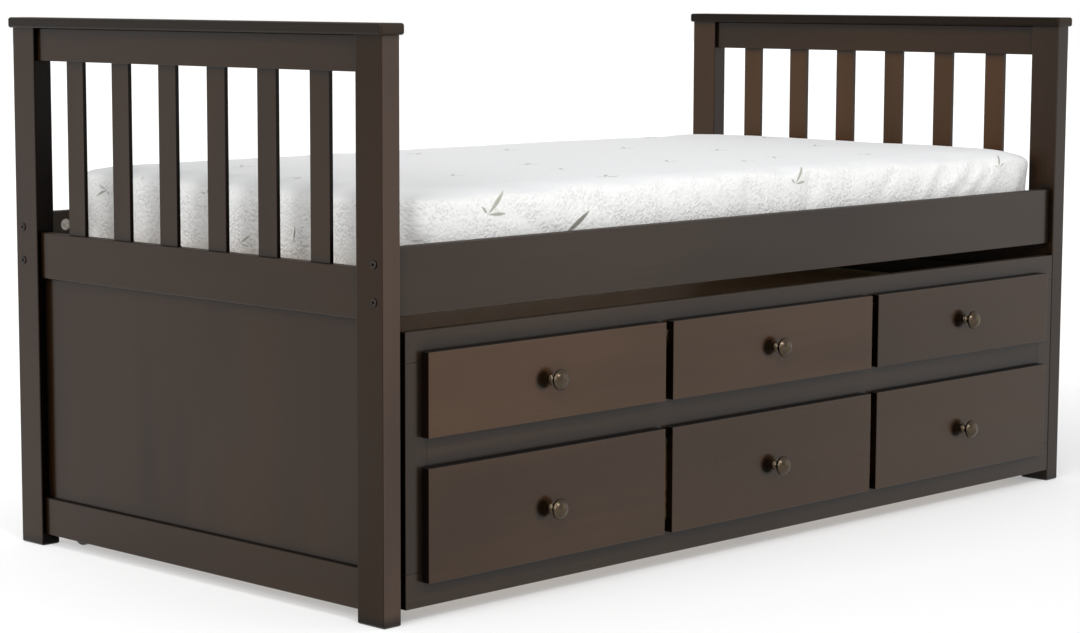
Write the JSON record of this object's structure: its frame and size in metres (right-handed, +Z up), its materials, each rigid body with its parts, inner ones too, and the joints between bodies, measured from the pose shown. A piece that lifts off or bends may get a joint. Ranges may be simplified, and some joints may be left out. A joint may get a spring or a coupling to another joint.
{
  "type": "trundle bed",
  "caption": "Single bed in dark stained wood with slatted ends and a mattress, over a roll-out trundle with false fronts above and drawers below, all with round knobs.",
  "frame": {"origin": "under the middle of the overall footprint, knobs included, at floor level", "axes": "+X along the bed towards the head end, +Y towards the rear side, +Z up; the drawers face -Y"},
  "size_m": [2.046, 1.103, 1.022],
  "materials": {
    "espresso_wood": "dark espresso stain under satin lacquer",
    "raw_pine": "planed softwood, unfinished",
    "plywood": "thin plywood, unfinished",
    "knob_bronze": "dark bronze, satin",
    "zinc_steel": "zinc plated",
    "black_steel": "blackened, satin",
    "wheel_plastic": "moulded, matt",
    "mattress_fabric": "white quilted knit with sparse grey-green leaves"
  },
  "bodies": {
    "bed_frame": {"barrel_nuts": "zinc_steel", "bed_slats": "raw_pine", "cross_bolts": "black_steel", "foot_bottom_rail": "espresso_wood", "foot_cap": "espresso_wood", "foot_front_post": "espresso_wood", "foot_mid_rail": "espresso_wood", "foot_panel": "espresso_wood", "foot_rear_post": "espresso_wood", "foot_slats": "espresso_wood", "foot_top_rail": "espresso_wood", "front_side_rail": "espresso_wood", "head_bottom_rail": "espresso_wood", "head_cap": "espresso_wood", "head_front_post": "espresso_wood", "head_mid_rail": "espresso_wood", "head_panel": "espresso_wood", "head_rear_post": "espresso_wood", "head_slats": "espresso_wood", "head_top_rail": "espresso_wood", "mattress": "mattress_fabric", "rear_side_rail": "espresso_wood", "slat_ledgers": "raw_pine"},
    "trundle": {"caster_axles": "zinc_steel", "caster_forks": "zinc_steel", "caster_stretchers": "raw_pine", "deck_cleats": "raw_pine", "deck_slats": "raw_pine", "drawer_runners": "raw_pine", "false_front_knobs": "knob_bronze", "left_false_front": "espresso_wood", "middle_false_front": "espresso_wood", "right_false_front": "espresso_wood", "trundle_back": "espresso_wood", "trundle_bottom_rail": "espresso_wood", "trundle_left_side": "espresso_wood", "trundle_left_stile": "espresso_wood", "trundle_mattress": "mattress_fabric", "trundle_middle_rail": "espresso_wood", "trundle_partitions": "raw_pine", "trundle_right_side": "espresso_wood", "trundle_right_stile": "espresso_wood", "trundle_top_rail": "espresso_wood"},
    "left_drawer": {"left_drawer_bottom": "plywood", "left_drawer_ends": "raw_pine", "left_drawer_front": "espresso_wood", "left_drawer_knob": "knob_bronze", "left_drawer_sides": "raw_pine"},
    "middle_drawer": {"middle_drawer_bottom": "plywood", "middle_drawer_ends": "raw_pine", "middle_drawer_front": "espresso_wood", "middle_drawer_knob": "knob_bronze", "middle_drawer_sides": "raw_pine"},
    "right_drawer": {"right_drawer_bottom": "plywood", "right_drawer_ends": "raw_pine", "right_drawer_front": "espresso_wood", "right_drawer_knob": "knob_bronze", "right_drawer_sides": "raw_pine"},
    "front_wheels": {"front_caster_wheels": "wheel_plastic"},
    "rear_wheels": {"rear_caster_wheels": "wheel_plastic"}
  },
  "joints": [
    {"name": "trundle_slide", "type": "slide", "parent": "bed_frame", "child": "trundle", "axis": [0, -1, 0], "range_m": [0, 0.95]},
    {"name": "left_drawer_slide", "type": "slide", "parent": "trundle", "child": "left_drawer", "axis": [0, -1, 0], "range_m": [0, 0.38]},
    {"name": "middle_drawer_slide", "type": "slide", "parent": "trundle", "child": "middle_drawer", "axis": [0, -1, 0], "range_m": [0, 0.38]},
    {"name": "right_drawer_slide", "type": "slide", "parent": "trundle", "child": "right_drawer", "axis": [0, -1, 0], "range_m": [0, 0.38]},
    {"name": "front_wheels_roll", "type": "hinge", "parent": "trundle", "child": "front_wheels", "pos_m": [0.0045, -0.4185, 0.0253], "axis": [1, 0, 0], "range_deg": [-5, 2190]},
    {"name": "rear_wheels_roll", "type": "hinge", "parent": "trundle", "child": "rear_wheels", "pos_m": [0.0045, 0.4315, 0.0253], "axis": [1, 0, 0], "range_deg": [-5, 2190]}
  ],
  "couplings": [
    {"joint": "front_wheels_roll", "follows": "trundle_slide", "rad_per_m": 40},
    {"joint": "rear_wheels_roll", "follows": "trundle_slide", "rad_per_m": 40}
  ]
}
